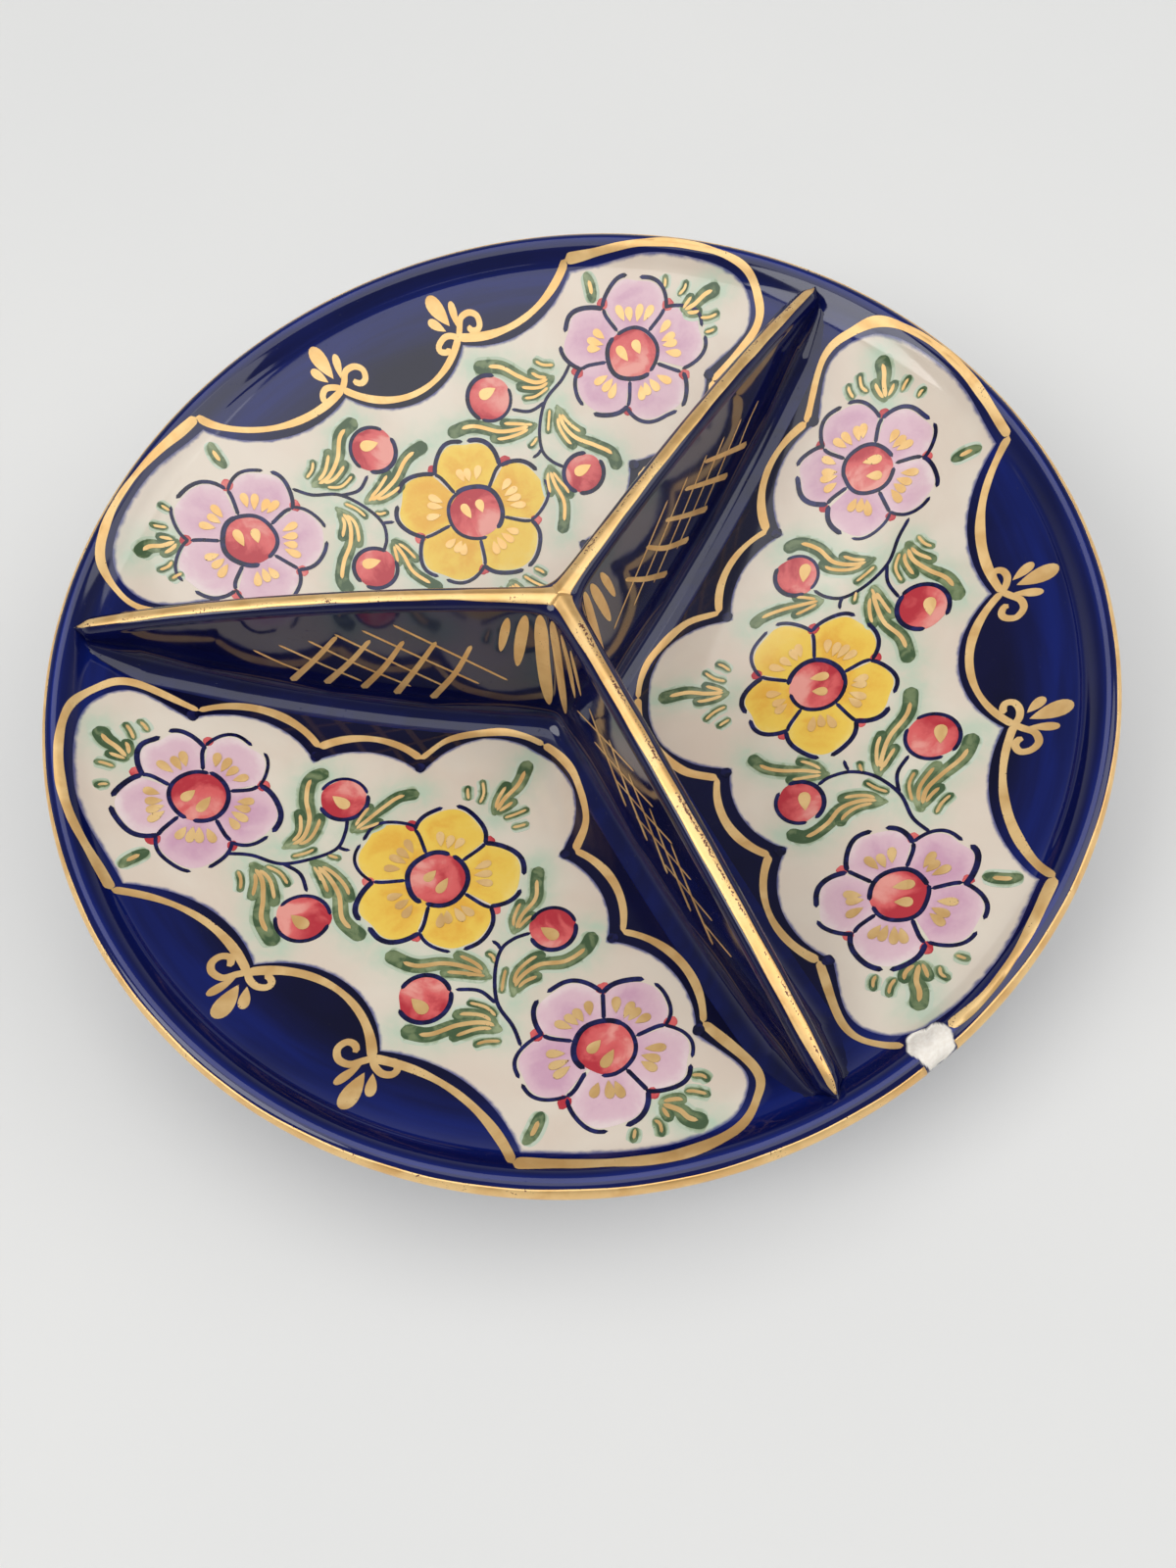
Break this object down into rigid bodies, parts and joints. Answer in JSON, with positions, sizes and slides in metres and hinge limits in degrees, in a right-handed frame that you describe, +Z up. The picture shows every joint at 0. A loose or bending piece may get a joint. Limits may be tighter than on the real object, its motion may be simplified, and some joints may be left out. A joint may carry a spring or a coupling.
{
  "type": "divided bonbon dish",
  "caption": "Round shallow dish on a foot ring, parted into compartments by upright walls that meet in the middle, for serving sweets or nuts.",
  "frame": {"origin": "centre of the foot ring, on the surface that the dish stands on", "axes": "+Z up along the dish's axis, -X along the left divider, -Y towards the viewer of the picture"},
  "size_m": [0.24, 0.24, 0.0595],
  "materials": {
    "painted_glaze": "clear glossy glaze over a deep cobalt ground, with painted cream reserves, flowers and gilt lines",
    "foot_clay": "cream glaze, with bare matt earthenware on the face that rests on the table",
    "gilding": "burnished bright gold, brushed on by hand and rubbed thin in places"
  },
  "bodies": {
    "root": {"dish_body": "painted_glaze", "foot_ring": "foot_clay", "rim_gilding": "gilding", "divider_left": "painted_glaze", "divider_front_right": "painted_glaze", "divider_back_right": "painted_glaze", "crest_gilding_left": "gilding", "crest_gilding_front_right": "gilding", "crest_gilding_back_right": "gilding"}
  },
  "joints": []
}
